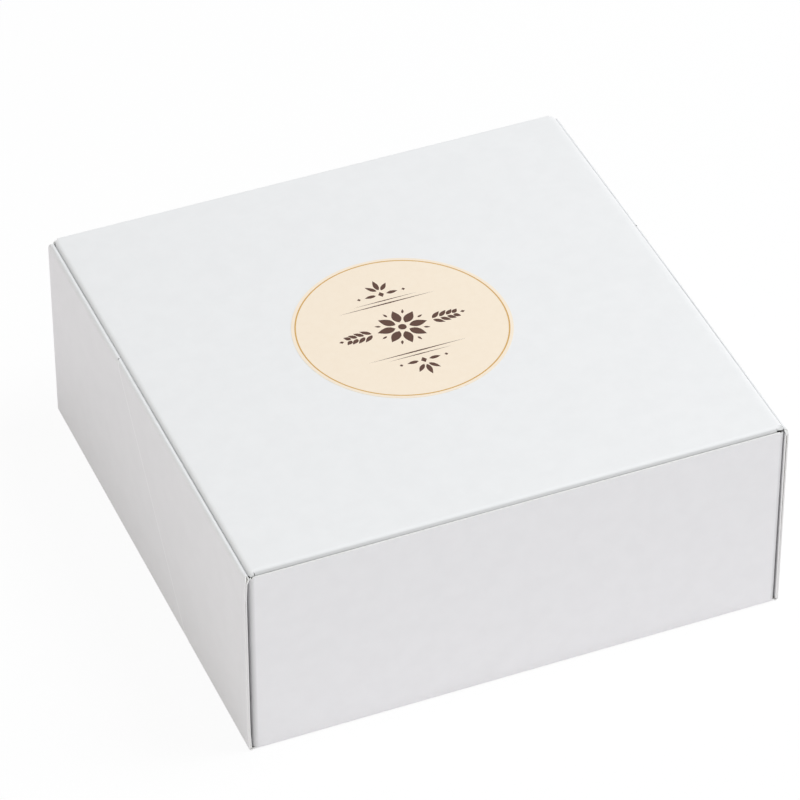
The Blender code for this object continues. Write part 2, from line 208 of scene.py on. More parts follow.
# Ornament: a rosette, a leaf spray on each side of it, and rules and a fan above and below
PETALS = 8
ROSETTE_LEAVES = ((0.0, 3.4 * MM, 8.8 * MM, 2.2 * MM), (0.5, 9.8 * MM, 3.0 * MM, 0.6 * MM))
EYE_RADIUS = 2.0 * MM
EYE_STEPS = 24
LEAF_STEPS = 10
LEAF_FULLNESS = 0.8
SPRAY_LEAVES = ((15.0 * MM, 6.0 * MM), (18.6 * MM, 5.4 * MM),
                (22.0 * MM, 4.6 * MM), (25.0 * MM, 3.8 * MM))
SPRAY_LEAF_WIDTH = 1.15 * MM
SPRAY_LEAF_OFFSET = 0.45 * MM
SPRAY_LEAN = 38.0
SPRAY_TIP = (29.8 * MM, 1.2 * MM, 0.9 * MM)
RULES = ((24.0 * MM, 18.6 * MM, 0.9 * MM), (16.0 * MM, 21.0 * MM, 0.65 * MM))
FAN_BASE = 25.6 * MM
FAN_LEAF = (2.6 * MM, 5.6 * MM, 1.05 * MM)
FAN_DOT = (11.0 * MM, 0.9 * MM)
FAN_WING = (1.1 * MM, 28.4 * MM, 6.2 * MM, 1.1 * MM)
FAN_WING_LEAN = 42.0
FAN_EYE = (1.5 * MM, 1.9 * MM)
FAN_TOP = (28.9 * MM, 7.4 * MM, 1.25 * MM)

LEFT, RIGHT = -1, 1
FRONT, BACK = -1, 1
SIDE_NAMES = {LEFT: "left", RIGHT: "right"}
END_NAMES = {FRONT: "front", BACK: "back"}

# The two sides differ a little. The wall's fold, and how far the inner ply stands off below it:
FOLD_TOP = {LEFT: 101.9 * MM, RIGHT: 101.4 * MM}
FOLD_INSET = {LEFT: 1.62 * MM, RIGHT: 0.8 * MM}
FOLD_RADIUS = {LEFT: 0.65 * MM, RIGHT: 0.38 * MM}
SPRING = {LEFT: 0.03 * MM, RIGHT: 0.36 * MM}
# How far the wall's top bows out, and how far its front end stands out:
SIDE_BOW = {LEFT: 0.0 * MM, RIGHT: 0.5 * MM}
FRONT_FLARE = {LEFT: 0.5 * MM, RIGHT: 0.0 * MM}
# The lid's roll above it: its width, its bulge and its reach past the flat panel at the front:
ROLL_REACH_X = {LEFT: 2.1 * MM, RIGHT: 2.9 * MM}
ROLL_BULGE = {LEFT: 0.0 * MM, RIGHT: 0.3 * MM}
SIDE_ROLL_FRONT = {LEFT: 2.5 * MM, RIGHT: 2.25 * MM}

# Material slots of a board. The front roll, left roll and crease slots carry painted shade, the
# coating darkened where shade falls.
COATED, REVERSE, CUT_EDGE, SCORED, FRONT_ROLL_SHADE, LEFT_ROLL_SHADE, CREASE_SHADE = range(7)


def arc(centre, radius, start, end, steps):
    """Points along an arc in degrees, ends included."""
    points = []
    for step in range(steps + 1):
        angle = math.radians(start + (end - start) * step / steps)
        points.append((centre[0] + radius * math.cos(angle), centre[1] + radius * math.sin(angle)))
    return points


def spread(start, end, steps):
    """Evenly spaced numbers, ends included."""
    return [start + (end - start) * step / steps for step in range(steps + 1)]


def bezier(start, first, second, end, share):
    """Point on a cubic curve in a plane."""
    rest = 1 - share
    weights = (rest ** 3, 3 * rest ** 2 * share, 3 * rest * share ** 2, share ** 3)
    corners = (start, first, second, end)
    return tuple(
        sum(weight * corner[axis] for weight, corner in zip(weights, corners))
        for axis in (0, 1)
    )


def smooth(share):
    """Smooth step from 0 to 1."""
    share = min(max(share, 0.0), 1.0)
    return share * share * (3 - 2 * share)


def bowed(place, half_run):
    """Share of a bow at this place: 1 in the middle of the run and 0 at its ends."""
    return math.cos(math.pi / 2 * place / half_run)


# Materials

def new_material(name):
    """A node material with object coordinates at hand."""
    material = bpy.data.materials.new(name)
    material.use_nodes = True
    tree = material.node_tree
    shader = tree.nodes["Principled BSDF"]
    coords = tree.nodes.new("ShaderNodeTexCoord").outputs["Object"]
    return material, tree, shader, coords


def noise(tree, coords, size, detail=3.0, rough=0.55, stretch=(1.0, 1.0, 1.0)):
    """Noise whose features are about the given size, in metres."""
    mapping = tree.nodes.new("ShaderNodeMapping")
    mapping.inputs["Scale"].default_value = stretch
    tree.links.new(coords, mapping.inputs["Vector"])
    node = tree.nodes.new("ShaderNodeTexNoise")
    node.inputs["Scale"].default_value = 1.0 / size
    node.inputs["Detail"].default_value = detail
    node.inputs["Roughness"].default_value = rough
    tree.links.new(mapping.outputs["Vector"], node.inputs["Vector"])
    return node.outputs["Fac"]


def ramp(tree, value, low, high, out_low=0.0, out_high=1.0):
    """Map a range of a value onto another, clamped."""
    node = tree.nodes.new("ShaderNodeMapRange")
    node.inputs["From Min"].default_value = low
    node.inputs["From Max"].default_value = high
    node.inputs["To Min"].default_value = out_low
    node.inputs["To Max"].default_value = out_high
    tree.links.new(value, node.inputs["Value"])
    return node.outputs["Result"]


def blend_colours(tree, share, first, second):
    """Mix two colours, each a socket or a tuple, by a share."""
    node = tree.nodes.new("ShaderNodeMix")
    node.data_type = "RGBA"
    tree.links.new(share, node.inputs[0])
    for socket, colour in ((node.inputs[6], first), (node.inputs[7], second)):
        if isinstance(colour, tuple):
            socket.default_value = (*colour, 1.0)
        else:
            tree.links.new(colour, socket)
    return node.outputs[2]


def bump(tree, shader, *layers):
    """Chain bumps, each a height socket with its depth in metres and a strength."""
    normal = None
    for height, depth, strength in layers:
        node = tree.nodes.new("ShaderNodeBump")
        node.inputs["Distance"].default_value = depth
        node.inputs["Strength"].default_value = strength
        tree.links.new(height, node.inputs["Height"])
        if normal:
            tree.links.new(normal, node.inputs["Normal"])
        normal = node.outputs["Normal"]
    tree.links.new(normal, shader.inputs["Normal"])


def coated_material(name, light, dark, painted_shade=None):
    """Clay-coated face of the board: faint clouds, fine grain and a slow waviness.

    Painted shade darkens the coating where shade falls on a roll or crease. It gives the axis to
    measure it on, the place where it is strongest, the place where it ends, and the share of the
    colour that is left.
    """
    material, tree, shader, coords = new_material(name)
    clouds = ramp(tree, noise(tree, coords, size=9 * MM, detail=4.0), low=0.35, high=0.65)
    colour = blend_colours(tree, clouds, dark, light)
    # Painted shade: the colour darkens towards the place where the shade is strongest, down to the
    # share that is left.
    if painted_shade:
        axis, strongest, ends, left_over = painted_shade
        parts = tree.nodes.new("ShaderNodeSeparateXYZ")
        tree.links.new(coords, parts.inputs["Vector"])
        place = tree.nodes.new("ShaderNodeMath")
        place.operation = "ABSOLUTE"
        tree.links.new(parts.outputs[axis], place.inputs[0])
        share = ramp(tree, place.outputs[0], strongest, ends)
        colour = blend_colours(tree, share, tuple(left_over * part for part in dark), colour)
    tree.links.new(colour, shader.inputs["Base Color"])
    grain = noise(tree, coords, size=0.28 * MM, detail=2.0)
    waves = noise(tree, coords, size=7 * MM, detail=2.0)
    gloss = ramp(tree, grain, low=0.3, high=0.7, out_low=0.40, out_high=0.52)
    tree.links.new(gloss, shader.inputs["Roughness"])
    bump(tree, shader, (waves, 0.05 * MM, 0.35), (grain, 0.012 * MM, 0.3))
    shader.inputs["Specular IOR Level"].default_value = 0.4
    return material


def reverse_material():
    """Uncoated side of the board: matte, with short fibres and a few flecks."""
    material, tree, shader, coords = new_material("uncoated_reverse")
    clouds = ramp(tree, noise(tree, coords, size=5 * MM, detail=4.0), low=0.3, high=0.7)
    base = blend_colours(tree, clouds, (0.755, 0.742, 0.708), (0.795, 0.783, 0.752))
    fibres = noise(tree, coords, size=0.55 * MM, detail=3.0, rough=0.6, stretch=(1.0, 0.25, 1.0))
    flecks = ramp(tree, fibres, low=0.66, high=0.74, out_low=0.0, out_high=0.35)
    colour = blend_colours(tree, flecks, base, (0.60, 0.57, 0.52))
    tree.links.new(colour, shader.inputs["Base Color"])
    shader.inputs["Roughness"].default_value = 0.85
    bump(tree, shader, (fibres, 0.04 * MM, 0.5))
    shader.inputs["Specular IOR Level"].default_value = 0.25
    return material


def cut_edge_material():
    """Die-cut edge of the board, streaked by its plies."""
    material, tree, shader, coords = new_material("cut_board_edge")
    plies = noise(tree, coords, size=0.35 * MM, detail=3.0, rough=0.6)
    share = ramp(tree, plies, low=0.35, high=0.65)
    colour = blend_colours(tree, share, (0.80, 0.797, 0.785), (0.875, 0.872, 0.862))
    tree.links.new(colour, shader.inputs["Base Color"])
    shader.inputs["Roughness"].default_value = 0.9
    bump(tree, shader, (plies, 0.05 * MM, 0.4))
    return material


def print_material(name, light, dark, size, gloss):
    """Printed label paper: one ink with a slight mottle and a satin varnish."""
    material, tree, shader, coords = new_material(name)
    mottle = ramp(tree, noise(tree, coords, size, detail=4.0), low=0.3, high=0.7)
    colour = blend_colours(tree, mottle, dark, light)
    tree.links.new(colour, shader.inputs["Base Color"])
    grain = noise(tree, coords, size=0.2 * MM, detail=2.0)
    varnish = ramp(tree, grain, low=0.3, high=0.7, out_low=gloss, out_high=gloss + 0.1)
    tree.links.new(varnish, shader.inputs["Roughness"])
    bump(tree, shader, (grain, 0.01 * MM, 0.25))
    return material


COAT = ((0.874, 0.876, 0.882), (0.858, 0.860, 0.866))
SCORED_COAT = ((0.970, 0.972, 0.975), (0.960, 0.962, 0.965))
# Painted shade: the front and left rolls darken low down, where they turn under, and the upright
# corner creases darken towards the corner.
FRONT_ROLL_PAINTED_SHADE = (2, 102.6 * MM, 103.25 * MM, 0.71)
LEFT_ROLL_PAINTED_SHADE = (2, 102.0 * MM, 103.1 * MM, 0.78)
CREASE_PAINTED_SHADE = (0, HALF_X - 2.2 * MM, HALF_X - 4.6 * MM, 0.6)

coated = coated_material("coated_board", *COAT)
# Painted shade: copies of the coating, darkened on the rolls and creases.
front_roll_shaded = coated_material("front_roll_painted_shade", *COAT, FRONT_ROLL_PAINTED_SHADE)
left_roll_shaded = coated_material("left_roll_painted_shade", *COAT, LEFT_ROLL_PAINTED_SHADE)
crease_shaded = coated_material("crease_painted_shade", *COAT, CREASE_PAINTED_SHADE)
scored = coated_material("scored_coating", *SCORED_COAT)
reverse = reverse_material()
cut_edge = cut_edge_material()
BOARD_MATERIALS = (coated, reverse, cut_edge, scored, front_roll_shaded, left_roll_shaded, crease_shaded)
cream = print_material(
    "label_cream", (0.955, 0.832, 0.680), (0.940, 0.812, 0.655), size=3 * MM, gloss=0.42)
ring_ink = print_material(
    "label_ring_ink", (0.68, 0.41, 0.12), (0.62, 0.36, 0.10), size=0.8 * MM, gloss=0.38)
brown_ink = print_material(
    "label_brown_ink", (0.085, 0.030, 0.014), (0.068, 0.023, 0.010), size=0.8 * MM, gloss=0.5)


# Board meshes

def add_grid(shape, rows, keep=None, zone=None):
    """Add rows of points to a bmesh as a sheet of quads.

    Keep says which quads are made and zone gives a quad's material slot, both by column and row.
    """
    verts = [[shape.verts.new(point) for point in row] for row in rows]
    for j in range(len(rows) - 1):
        for i in range(len(rows[0]) - 1):
            if keep and not keep(i, j):
                continue
            corners = (verts[j][i], verts[j][i + 1], verts[j + 1][i + 1], verts[j + 1][i])
            face = shape.faces.new(corners)
            if zone:
                face.material_index = zone(i, j)


def evaluated_mesh(piece):
    """Mesh of a piece with its modifiers applied."""
    depsgraph = bpy.context.evaluated_depsgraph_get()
    return bpy.data.meshes.new_from_object(piece.evaluated_get(depsgraph))


def mesh_of(name, shape):
    """Mesh from a bmesh, which is freed."""
    mesh = bpy.data.meshes.new(name)
    shape.to_mesh(mesh)
    shape.free()
    return mesh


def add_object(name, data):
    """Object linked to the scene."""
    item = bpy.data.objects.new(name, data)
    bpy.context.scene.collection.objects.link(item)
    return item


def rod(name, start, end, radius):
    """Round cutter between two points."""
    run = Vector(end) - Vector(start)
    shape = bmesh.new()
    bmesh.ops.create_cone(
        shape, cap_ends=True, segments=ROD_SIDES, radius1=radius, radius2=radius, depth=run.length)
    cutter = add_object(name, mesh_of(name, shape))
    turn = run.to_track_quat("Z", "Y").to_matrix().to_4x4()
    cutter.matrix_world = Matrix.Translation((Vector(start) + Vector(end)) / 2) @ turn
    return cutter


def turn_outward(shape, facing):
    """Make the sheet's faces look towards facing, and give the index of the furthest one."""
    bmesh.ops.recalc_face_normals(shape, faces=shape.faces)
    shape.faces.ensure_lookup_table()
    far = max(shape.faces, key=lambda face: face.calc_center_median().dot(facing))
    if far.normal.dot(facing) < 0:
        bmesh.ops.reverse_faces(shape, faces=shape.faces)
    return far.index


def board_piece(name, shape, facing, cutter=None):
    """Solid board from a middle sheet.

    Its coated side looks towards facing, the reverse is behind, and cut edges run round it.
    """
    facing = Vector(facing)
    bmesh.ops.remove_doubles(shape, verts=shape.verts, dist=MERGE_DISTANCE)
    loose = [vert for vert in shape.verts if not vert.link_faces]
    bmesh.ops.delete(shape, geom=loose, context="VERTS")
    far_index = turn_outward(shape, facing)
    zones = [face.material_index for face in shape.faces]
    sheet = mesh_of(name + "_sheet", shape)
    piece = add_object(name, sheet)
    shell = piece.modifiers.new("thickness", "SOLIDIFY")
    shell.thickness = BOARD
    shell.offset = 0.0
    shell.use_even_offset = True
    shell.use_quality_normals = True
    mesh = evaluated_mesh(piece)
    piece.modifiers.clear()
    mesh.name = name
    for material in BOARD_MATERIALS:
        mesh.materials.append(material)
    # The solid has the sheet's faces twice, in their order, and then the rim.
    first_faces_out = mesh.polygons[far_index].normal.dot(facing) > 0
    for polygon in mesh.polygons:
        layer, index = divmod(polygon.index, len(zones))
        if layer > 1:
            polygon.material_index = CUT_EDGE
        elif (layer == 0) == first_faces_out:
            polygon.material_index = zones[index]
        else:
            polygon.material_index = REVERSE
    piece.data = mesh
    bpy.data.meshes.remove(sheet)
    if cutter:
        knife = piece.modifiers.new("cut", "BOOLEAN")
        knife.operation = "DIFFERENCE"
        knife.object = cutter
        piece.data = evaluated_mesh(piece)
        piece.modifiers.clear()
        bpy.data.objects.remove(cutter, do_unlink=True)
    piece.data.polygons.foreach_set("use_smooth", [True] * len(piece.data.polygons))
    piece.data.set_sharp_from_angle(angle=SHARP_ANGLE)
    return piece


def foot_profile():
    """Bend from the floor up into a wall, as (inset, height)."""
    turns = [math.radians(-angle) for angle in FOOT_ANGLES]
    return [(FOOT_END + FOOT_RADIUS * math.cos(turn), FOOT_END + FOOT_RADIUS * math.sin(turn))
            for turn in turns]


def side_profile(side):
    """Section of a double side wall as (inset, height).

    Also the row where its fold starts, the height where its curl starts and that of the fold's centre.
    """
    foot = foot_profile()
    radius = FOLD_RADIUS[side]
    fold_centre = (FOLD_INSET[side], FOLD_TOP[side] - HALF_BOARD - radius)
    curl_reach = fold_centre[0] - radius - HALF_BOARD
    slope = math.degrees(math.atan(2 * curl_reach / CURL_HEIGHT))
    fold = arc(fold_centre, radius, 180.0 - slope, -FOLD_RETURN, FOLD_STEPS)
    curl_foot = fold[0][1] - CURL_HEIGHT
    outer = [(HALF_BOARD, height) for height in spread(FOOT_END, curl_foot, WALL_STEPS)[1:]]
    for share in spread(0.0, 1.0, CURL_STEPS)[1:-1]:
        inset = HALF_BOARD + (fold[0][0] - HALF_BOARD) * share ** 2
        outer.append((inset, curl_foot + CURL_HEIGHT * share))

    return_foot = fold[-1][1] - RETURN_HEIGHT
    spring = SPRING[side]
    turn = math.radians(FOLD_RETURN)
    reach = RETURN_EASE * RETURN_HEIGHT
    knee = (fold[-1][0] - reach * math.sin(turn), fold[-1][1] - reach * math.cos(turn))
    settle = (HALF_BOARD + PLY_PITCH + spring, return_foot + reach)
    end_of_return = (settle[0], return_foot)
    inner = []
    for share in spread(0.0, 1.0, RETURN_STEPS)[1:]:
        inner.append(bezier(fold[-1], knee, settle, end_of_return, share))
    for height in reversed(spread(INNER_FOOT, return_foot, INNER_STEPS)[:-1]):
        inner.append((HALF_BOARD + PLY_PITCH + spring * smooth(height / return_foot), height))
    tab = [(HALF_BOARD + PLY_PITCH, TAB_FOOT)]
    return foot + outer + fold + inner + tab, len(foot) + len(outer), curl_foot, fold_centre[1]


def with_marks(places, marks, gap):
    """Sorted places with the marks among them, and nothing nearer to a mark than the gap."""
    free = [place for place in places if all(abs(place - mark) > gap for mark in marks)]
    return sorted(free + marks)


def side_columns():
    """Columns along a side wall, as places at its foot, and those of them that belong to the score."""
    middle = SIDE_HALF_RUN - END_BAND
    columns = set(spread(-SIDE_HALF_RUN, -middle, END_BAND_STEPS))
    columns.update(spread(-middle, middle, MIDDLE_STEPS))
    columns.update(spread(middle, SIDE_HALF_RUN, END_BAND_STEPS))
    score = [SCORE_FOOT_Y + SCORE_HALF_WIDTH * share for share in SCORE_SHARES]
    reaches = (-SLOT_HALF, -TAB_HALF, TAB_HALF, SLOT_HALF)
    marks = score + [centre + reach for centre in TAB_CENTRES for reach in reaches]
    return with_marks(columns, marks, COLUMN_GAP), score


def leaned(column, height):
    """Place of a column at a height: columns lean with the score, which stays straight on the wall."""
    share = min(max(height / WALL_TOP, 0.0), 1.0)
    shift = (SCORE_TOP_Y - SCORE_FOOT_Y) * share
    score_start = SCORE_FOOT_Y - SCORE_HALF_WIDTH
    score_end = SCORE_FOOT_Y + SCORE_HALF_WIDTH
    reach = 1.0
    if column <= score_start:
        reach = (column + SIDE_HALF_RUN) / (score_start + SIDE_HALF_RUN)
    elif column >= score_end:
        reach = (SIDE_HALF_RUN - column) / (SIDE_HALF_RUN - score_end)
    return column + shift * reach


def near_tab(place, half):
    """Whether a place along a side wall is within this half width of a lock tab's middle."""
    return any(abs(place - centre) < half for centre in TAB_CENTRES)


def build_side_board(side):
    """Double side wall: foot bend, outer ply, rolled fold, inner ply and lock tabs, as one board."""
    profile, first_fold, curl_foot, fold_height = side_profile(side)
    columns, score_columns = side_columns()
    shoulder = FOLD_TOP[side] - FOLD_END_ROUND

    def point(column, row):
        inset, height = profile[row]
        y = leaned(column, height if row > SLOT_ROW else 0.0)
        lift = min(max(height + HALF_BOARD - shoulder, 0.0), FOLD_END_ROUND)
        setback = FOLD_END_ROUND - math.sqrt(FOLD_END_ROUND ** 2 - lift ** 2)
        beyond = abs(y) - (SIDE_HALF_RUN - END_BAND)
        if beyond > 0:
            y = math.copysign(SIDE_HALF_RUN - END_BAND + beyond * (1 - setback / END_BAND), y)
        kink = RIM_KINK * max(0.0, 1 - abs(y - SCORE_TOP_Y) / RIM_KINK_REACH)
        bow = SIDE_BOW[side] * bowed(y, SIDE_HALF_RUN)
        inset += (kink - bow) * smooth(height / WALL_TOP)
        ahead = smooth(1 - (y + SIDE_HALF_RUN) / FLARE_RUN)
        fading = smooth((curl_foot - height) / FLARE_HEAD)
        inset -= FRONT_FLARE[side] * ahead * smooth(height / FLARE_FOOT) * fading
        if row < first_fold and column in score_columns:
            inset += SCORE_GROOVE
        return side * (HALF_X - inset), y, height

    def keep(i, j):
        middle = (columns[i] + columns[i + 1]) / 2
        if j < SLOT_ROW:
            return not near_tab(middle, SLOT_HALF)
        if j == len(profile) - 2:
            return near_tab(middle, TAB_HALF)
        return True

    def zone(i, j):
        middle = (columns[i] + columns[i + 1]) / 2
        on_score = abs(middle - SCORE_FOOT_Y) < SCORE_HALF_WIDTH and SLOT_ROW < j < first_fold
        return SCORED if on_score else COATED

    shape = bmesh.new()
    rows = [[point(column, row) for column in columns] for row in range(len(profile))]
    add_grid(shape, rows, keep, zone)
    relief = []
    for reach in RELIEF_REACHES:
        x = side * (HALF_X - FOLD_INSET[side] + reach * math.cos(RELIEF_TILT))
        relief.append((x, SCORE_TOP_Y, fold_height + reach * math.sin(RELIEF_TILT)))
    cutter = rod("relief", *relief, RELIEF_RADIUS)
    name = SIDE_NAMES[side] + "_side_board"
    piece = board_piece(name, shape, (side, 0.0, 0.0), cutter)
    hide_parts(SIDE_NAMES[side] + "_outer_wall", SIDE_NAMES[side] + "_inner_wall")
    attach(piece, "tray")


def end_plan(panel_half):
    """Plan of an end wall from one corner flap to the other, as (x, inset, kind)."""
    plan = []
    for reach in spread(CORNER_FLAP_REACH, CREASE_INSET_Y, CORNER_FLAP_STEPS)[:-1]:
        plan.append((panel_half + CREASE_REACH_X, reach, "flap"))
    for step in range(CREASE_STEPS):
        angle = math.pi / 2 * (1 - step / CREASE_STEPS)
        x = panel_half + CREASE_REACH_X * math.sin(angle)
        inset = CREASE_INSET_Y - CREASE_REACH_Y * math.cos(angle)
        plan.append((x, inset, "crease"))
    plan.append((panel_half, HALF_BOARD, "panel"))
    left = [(-x, inset, kind) for x, inset, kind in plan]
    middle = [(x, HALF_BOARD, "panel") for x in spread(-panel_half, panel_half, PANEL_STEPS)[1:-1]]
    return left + middle + plan[::-1]


def flap_head(inset):
    """Top of a corner flap, rounded at its free end."""
    from_end = CORNER_FLAP_REACH - inset
    if from_end >= CORNER_FLAP_ROUND:
        return CORNER_FLAP_HEAD
    reach = CORNER_FLAP_ROUND - from_end
    return CORNER_FLAP_HEAD - CORNER_FLAP_ROUND + math.sqrt(CORNER_FLAP_ROUND ** 2 - reach ** 2)


def crease_head(end, top, share):
    """Top of an upright crease, by the share of its bend away from the wall."""
    if end == BACK:
        rise = BACK_CREASE_RISE * smooth(BACK_RISE_RATE * share)
        return top + rise - BACK_CREASE_DROP * smooth((share - BACK_DROP_START) / DROP_SPAN)
    steep = (CREASE_TOP_DROP - CREASE_TOP_SLOPE) * smooth((share - FRONT_DROP_START) / DROP_SPAN)
    notch = NOTCH_DEPTH * math.exp(-((share - NOTCH_PLACE) / NOTCH_SPREAD) ** 2)
    return top - (CREASE_TOP_SLOPE * share + steep) - notch


def lip_rows(foot, side, end, panel_half):
    """Ends of the foot bend, which run on a little past the wall and taper."""
    last = len(foot) - 1
    rows = []
    for index in range(len(foot)):
        row = []
        for share in spread(0.0, 1.0, LIP_STEPS):
            limit = last * math.sqrt(1 - LIP_TAPER * share ** 2)
            position = min(index * limit / last, float(last))
            base = min(int(position), last - 1)
            mix = position - base
            inset = foot[base][0] * (1 - mix) + foot[base + 1][0] * mix
            height = foot[base][1] * (1 - mix) + foot[base + 1][1] * mix
            row.append((side * (panel_half + LIP_REACH * share), end * (HALF_Y - inset), height))
        rows.append(row)
    return rows


def build_end_board(end):
    """Front or back wall with its foot bend, upright creases and glued corner flaps, as one board."""
    panel_half = HALF_X - CREASE_INSET_X
    columns = end_plan(panel_half)
    kinds = [kind for _, _, kind in columns]
    foot = foot_profile()
    foot_row = len(foot) - 1
    head_row = foot_row + WALL_STEPS
    top = BACK_CREASE_FOOT if end == BACK else FRONT_TOP
    heights = spread(FOOT_END, CORNER_FLAP_HEAD, WALL_STEPS)[1:]
    heights += spread(CORNER_FLAP_HEAD, top, HEAD_STEPS)[1:]

    def head_height(column):
        x, inset, kind = columns[column]
        if kind == "flap":
            return flap_head(inset)
        if kind == "crease":
            bend = math.asin(min((abs(x) - panel_half) / CREASE_REACH_X, 1.0))
            return crease_head(end, top, bend / (math.pi / 2))
        return top

    def point(column, row):
        x, inset, kind = columns[column]
        if row < foot_row:
            return x, end * (HALF_Y - foot[row][0]), foot[row][1]
        height = foot[-1][1] if row == foot_row else heights[row - len(foot)]
        if kind == "flap":
            share = (height - FOOT_END) / (CORNER_FLAP_HEAD - FOOT_END)
            height = FOOT_END + (head_height(column) - FOOT_END) * min(share, 1.0)
        elif height > CORNER_FLAP_HEAD:
            share = (height - CORNER_FLAP_HEAD) / (top - CORNER_FLAP_HEAD)
            height = CORNER_FLAP_HEAD + (head_height(column) - CORNER_FLAP_HEAD) * share
        if kind == "panel":
            inset += WALL_BOW * bowed(x, panel_half) * smooth(height / WALL_TOP)
        return x, end * (HALF_Y - inset), height

    def keep(i, j):
        pair = kinds[i:i + 2]
        if j < foot_row:
            return pair == ["panel", "panel"]
        if "flap" in pair:
            return j < head_row
        return True

    def zone(i, j):
        # The upright creases get the crease slot, whose coating has painted shade.
        return CREASE_SHADE if "crease" in kinds[i:i + 2] else COATED

    shape = bmesh.new()
    rows = [[point(column, row) for column in range(len(columns))]
            for row in range(len(foot) + len(heights))]
    add_grid(shape, rows, keep, zone)
    for side in (LEFT, RIGHT):
        add_grid(shape, lip_rows(foot, side, end, panel_half))
    wall = END_NAMES[end] + "_wall"
    piece = board_piece(wall + "_board", shape, (0.0, end, 0.0))
    nodes = [wall]
    for side in (LEFT, RIGHT):
        corner = f"{END_NAMES[end]}_{SIDE_NAMES[side]}_corner"
        nodes += [corner + "_crease", corner + "_flap"]
    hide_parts(*nodes)
    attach(piece, "tray")


def build_floor():
    """Floor panel, notched for the lock tabs of the inner plies."""
    half_x = HALF_X - FOOT_END
    half_y = HALF_Y - FOOT_END
    notch_x = HALF_X - FLOOR_NOTCH_INSET
    xs = [-half_x, -notch_x] + spread(-notch_x, notch_x, FLOOR_STEPS)[1:-1] + [notch_x, half_x]
    marks = [centre + reach for centre in TAB_CENTRES for reach in (-SLOT_HALF, SLOT_HALF)]
    ys = with_marks(spread(-half_y, half_y, FLOOR_STEPS), marks, FLOOR_ROW_GAP)

    def keep(i, j):
        in_slot = near_tab((ys[j] + ys[j + 1]) / 2, SLOT_HALF)
        return not (in_slot and i in (0, len(xs) - 2))

    shape = bmesh.new()
    add_grid(shape, [[(x, y, HALF_BOARD) for x in xs] for y in ys], keep)
    piece = board_piece("tray_floor", shape, (0.0, 0.0, -1.0))
    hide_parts("base_panel")
    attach(piece, "tray")


def rolled(angle, flat, reach):
    """Place and drop of a point on a rolled edge that has turned down by this angle."""
    return flat + reach * math.sin(angle), ROLL_RADIUS * (1 - math.cos(angle))


def roll_bulge(side, angle, y):
    """How far a side roll stands out beyond its plain curve, with the bow of the wall next to it."""
    bulge = ROLL_BULGE[side] + SIDE_BOW[side] * bowed(y, HALF_Y)
    return bulge * smooth(angle / BULGE_RISE) * smooth((LID_ROLL_END - angle) / BULGE_FALL)


def roll_back_end(angle):
    """Where the side roll stops at the back, by how far it has turned down."""
    share = smooth(angle / ROLL_BACK_TURN)
    far = smooth((angle - ROLL_BACK_TURN) / ROLL_BACK_TURN)
    inset = (HALF_Y - LID_BACK) * (1 - share) + ROLL_BACK_TOP * share
    return HALF_Y - inset - (ROLL_BACK_FOOT - ROLL_BACK_TOP) * far


def side_roll_columns(side, angles):
    """Columns of a side roll, as (x, drop, angle)."""
    columns = []
    for angle in angles:
        x, drop = rolled(angle, FLAT_X, ROLL_REACH_X[side])
        columns.append((side * x, drop, angle))
    return columns


def front_roll_rows(xs, angles):
    """Rows of the front roll, with a slit to the side roll at each end."""
    rows = []
    for angle in angles:
        y, drop = rolled(angle, FLAT_Y, ROLL_REACH_Y)
        scale = 1 - ROLL_SLIT / FLAT_X * smooth((angle - SLIT_TURN) / SLIT_TURN)
        rows.append([(x * scale, -y, LID_MIDDLE - drop) for x in xs])
    return rows


def side_roll_front_rows(side, angles):
    """Rows of a side roll's front end, which dips with the front roll next to it."""
    rows = []
    for ahead in spread(0.0, SIDE_ROLL_FRONT[side], ROLL_FRONT_STEPS):
        dip = ROLL_RADIUS * (1 - math.sqrt(1 - (ahead / ROLL_REACH_Y) ** 2))
        row = []
        for angle in angles:
            x, drop = rolled(angle, FLAT_X, ROLL_REACH_X[side])
            fade = 1 - smooth((angle / LID_ROLL_END - ROLL_FADE_START) / ROLL_FADE_SPAN)
            forward = ahead * (ROLL_FOOT_SHARE + (1 - ROLL_FOOT_SHARE) * fade)
            x += roll_bulge(side, angle, -FLAT_Y)
            row.append((side * x, -FLAT_Y - forward, LID_MIDDLE - drop - dip * fade))
        rows.append(row)
    return rows


def build_lid():
    """Flat lid panel with its front and side edges rolled down."""
    angles = spread(0.0, LID_ROLL_END, ROLL_STEPS)
    xs = spread(-FLAT_X, FLAT_X, PANEL_STEPS)
    left = side_roll_columns(LEFT, angles[1:])
    right = side_roll_columns(RIGHT, angles[1:])
    columns = left[::-1] + [(x, 0.0, 0.0) for x in xs] + right

    def point(column, y):
        x, drop, angle = column
        if angle > 0 and y > ROLL_BACK_START:
            share = (y - ROLL_BACK_START) / (LID_BACK - ROLL_BACK_START)
            y = ROLL_BACK_START + (roll_back_end(angle) - ROLL_BACK_START) * share
        side = LEFT if x < 0 else RIGHT
        return x + side * roll_bulge(side, angle, y), y, LID_MIDDLE - drop

    def zone(i, j):
        # The left roll gets painted shade.
        return LEFT_ROLL_SHADE if i < len(left) else COATED

    shape = bmesh.new()
    ys = spread(-FLAT_Y, LID_BACK, PANEL_STEPS)
    add_grid(shape, [[point(column, y) for column in columns] for y in ys], zone=zone)
    # The front roll and the front ends of the side rolls get painted shade.
    add_grid(shape, front_roll_rows(xs, angles), zone=lambda i, j: FRONT_ROLL_SHADE)
    add_grid(shape, side_roll_front_rows(LEFT, angles), zone=lambda i, j: LEFT_ROLL_SHADE)
    add_grid(shape, side_roll_front_rows(RIGHT, angles), zone=lambda i, j: FRONT_ROLL_SHADE)
    piece = board_piece("lid_board", shape, (0.0, 0.0, 1.0))
    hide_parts("lid_panel")
    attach(piece, "lid")


# Flaps of the lid

